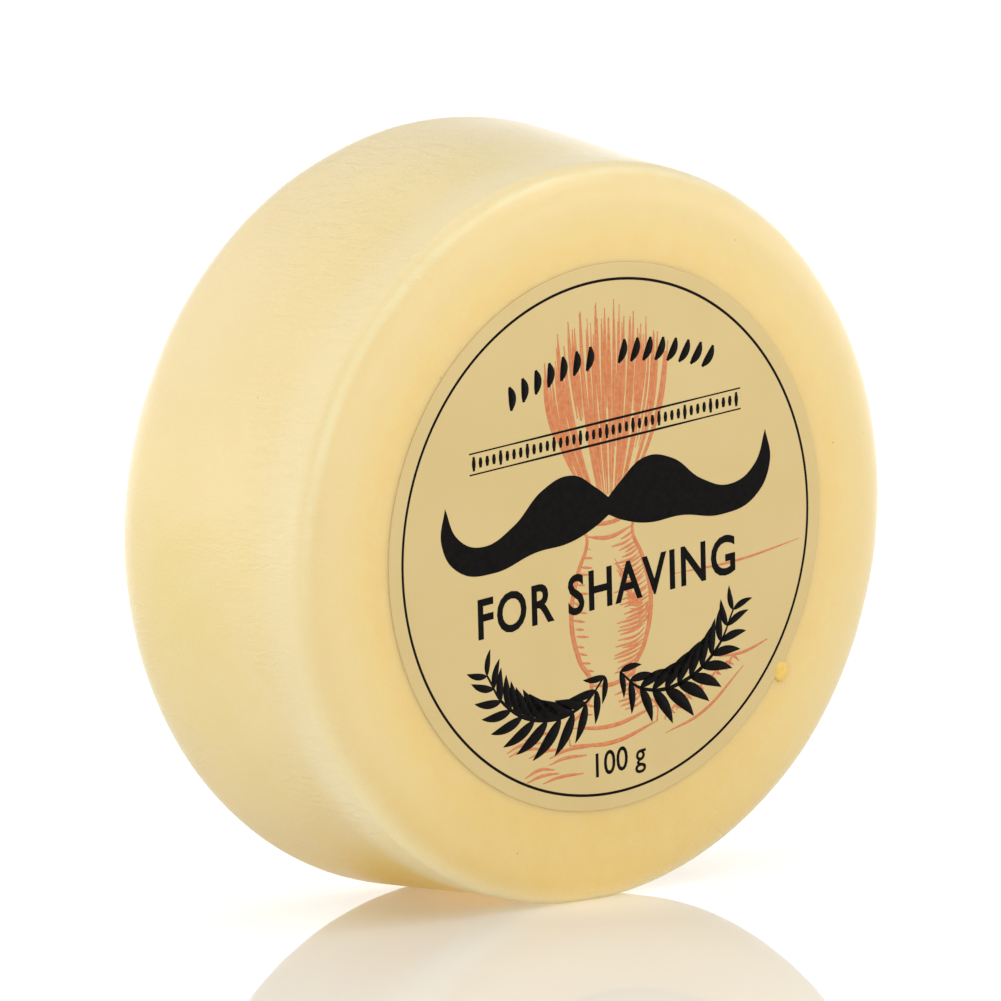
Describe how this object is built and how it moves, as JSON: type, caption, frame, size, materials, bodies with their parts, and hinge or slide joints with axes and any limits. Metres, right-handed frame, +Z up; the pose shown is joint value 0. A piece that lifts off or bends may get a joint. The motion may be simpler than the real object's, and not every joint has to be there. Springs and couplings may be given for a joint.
{
  "type": "shaving soap puck",
  "caption": "Thick round moulded puck of cream shaving soap with soft edges and a round printed label on its face, standing on its rim.",
  "frame": {"origin": "middle of the puck's box in plan, on the ground that its rim stands on", "axes": "+Z up; the labelled face looks towards -Y and, because the wall's draft lies level on the ground, 5.48 degrees down"},
  "size_m": [0.0688, 0.0328, 0.0683],
  "materials": {
    "soap": "translucent cream-yellow hard soap, waxy, softly polished by its mould",
    "adhesive": "clear acrylic label adhesive, seen only at the label's edge and when it is lifted",
    "label_film": "tan printed label film, satin",
    "black_ink": "dense black print",
    "orange_ink": "thin orange line print"
  },
  "bodies": {
    "puck": {"soap_puck": "soap"},
    "label": {"label_adhesive": "adhesive", "label_film": "label_film", "label_ring": "black_ink"}
  },
  "joints": [
    {"name": "label_lift", "type": "slide", "parent": "puck", "child": "label", "axis": [0, -0.9954, -0.0955], "range_m": [0, 0.04]}
  ]
}
